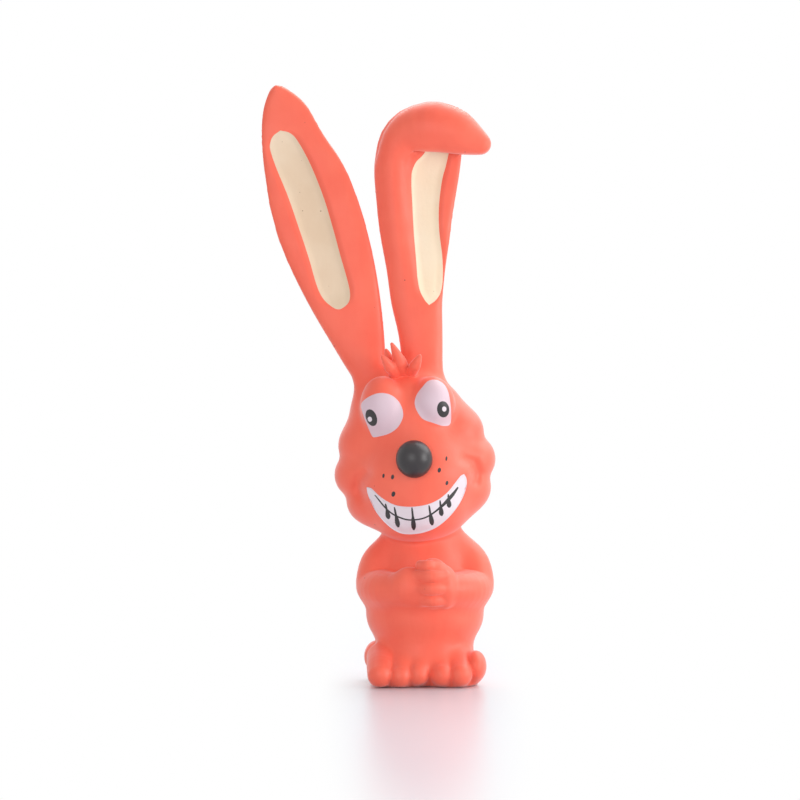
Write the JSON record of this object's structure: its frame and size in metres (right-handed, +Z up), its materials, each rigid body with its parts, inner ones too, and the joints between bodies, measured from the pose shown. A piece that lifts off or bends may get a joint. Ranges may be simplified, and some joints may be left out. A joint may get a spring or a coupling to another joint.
{
  "type": "squeaky dog toy",
  "caption": "Standing latex rabbit toy with a straight ear and a folded ear, a soft hollow body to squeeze and a reed squeaker in its base.",
  "frame": {"origin": "on the floor under the middle of the torso, on the flat sole in front of the squeaker", "axes": "+Z up, -Y to the front of the toy, +X to the right as seen from its front"},
  "size_m": [0.0879, 0.0586, 0.2296],
  "materials": {
    "latex": "matte coral natural latex",
    "cream_paint": "matte cream latex paint",
    "white_paint": "satin off-white latex paint",
    "black_paint": "satin charcoal latex paint",
    "fibre": "loose polyester fibre",
    "squeaker_plastic": "natural polyethylene",
    "reed_film": "thin smooth film"
  },
  "bodies": {
    "body": {"torso_skin": "latex", "left_upper_arm": "latex", "right_upper_arm": "latex", "left_foot": "latex", "right_foot": "latex", "tail": "latex", "neck": "latex", "torso_fill": "fibre", "squeaker_body": "squeaker_plastic", "squeaker_cap": "squeaker_plastic", "reed_block": "squeaker_plastic", "reed_clamp": "squeaker_plastic"},
    "front": {"front_wall": "latex", "left_forearm": "latex", "right_forearm": "latex", "left_hand": "latex", "right_hand": "latex"},
    "back": {"back_wall": "latex"},
    "head": {"head_skin": "latex", "hair_tuft": "latex", "nose": "black_paint", "left_eye": "white_paint", "right_eye": "white_paint", "left_pupil": "black_paint", "right_pupil": "black_paint", "teeth": "white_paint", "head_fill": "fibre", "straight_ear_root": "latex", "folded_ear_root": "latex"},
    "straight_ear": {"straight_ear": "latex", "straight_ear_lining": "cream_paint"},
    "folded_ear": {"folded_ear": "latex", "folded_ear_lining": "cream_paint", "folded_ear_crease": "latex"},
    "folded_ear_tip": {"folded_ear_tip": "latex"},
    "reed": {"reed": "reed_film"}
  },
  "joints": [
    {"name": "front_squeeze", "type": "slide", "parent": "body", "child": "front", "axis": [0, 1, 0], "range_m": [0, 0.006], "stiffness_N_per_m": 1500, "deforming": ["torso_fill"]},
    {"name": "back_squeeze", "type": "slide", "parent": "body", "child": "back", "axis": [0, -1, 0], "range_m": [0, 0.006], "stiffness_N_per_m": 1500},
    {"name": "neck_nod", "type": "hinge", "parent": "body", "child": "head", "pos_m": [0, 0, 0.058], "axis": [1, 0, 0], "range_deg": [-15, 10], "stiffness_Nm_per_rad": 2.5, "deforming": ["neck"]},
    {"name": "straight_ear_bend", "type": "hinge", "parent": "head", "child": "straight_ear", "pos_m": [-0.02358, 0.00145, 0.12635], "axis": [0.9542, 0, 0.299], "range_deg": [-35, 35], "stiffness_Nm_per_rad": 0.4, "deforming": ["straight_ear_root"]},
    {"name": "folded_ear_bend", "type": "hinge", "parent": "head", "child": "folded_ear", "pos_m": [-0.00173, 0.00145, 0.13087], "axis": [0.9999, 0, 0.014], "range_deg": [-35, 35], "stiffness_Nm_per_rad": 0.4, "deforming": ["folded_ear_root"]},
    {"name": "folded_tip_bend", "type": "hinge", "parent": "folded_ear", "child": "folded_ear_tip", "pos_m": [-0.00281, 0.00038, 0.20863], "axis": [0.859, 0.0349, 0.5108], "range_deg": [-25, 10], "stiffness_Nm_per_rad": 0.08, "deforming": ["folded_ear_crease"]},
    {"name": "reed_flutter", "type": "hinge", "parent": "body", "child": "reed", "pos_m": [0, 0.0082, 0.0052], "axis": [1, 0, 0], "range_deg": [-5, 5], "stiffness_Nm_per_rad": 0.00002}
  ],
  "couplings": [
    {"joint": "back_squeeze", "follows": "front_squeeze", "ratio": 1}
  ]
}
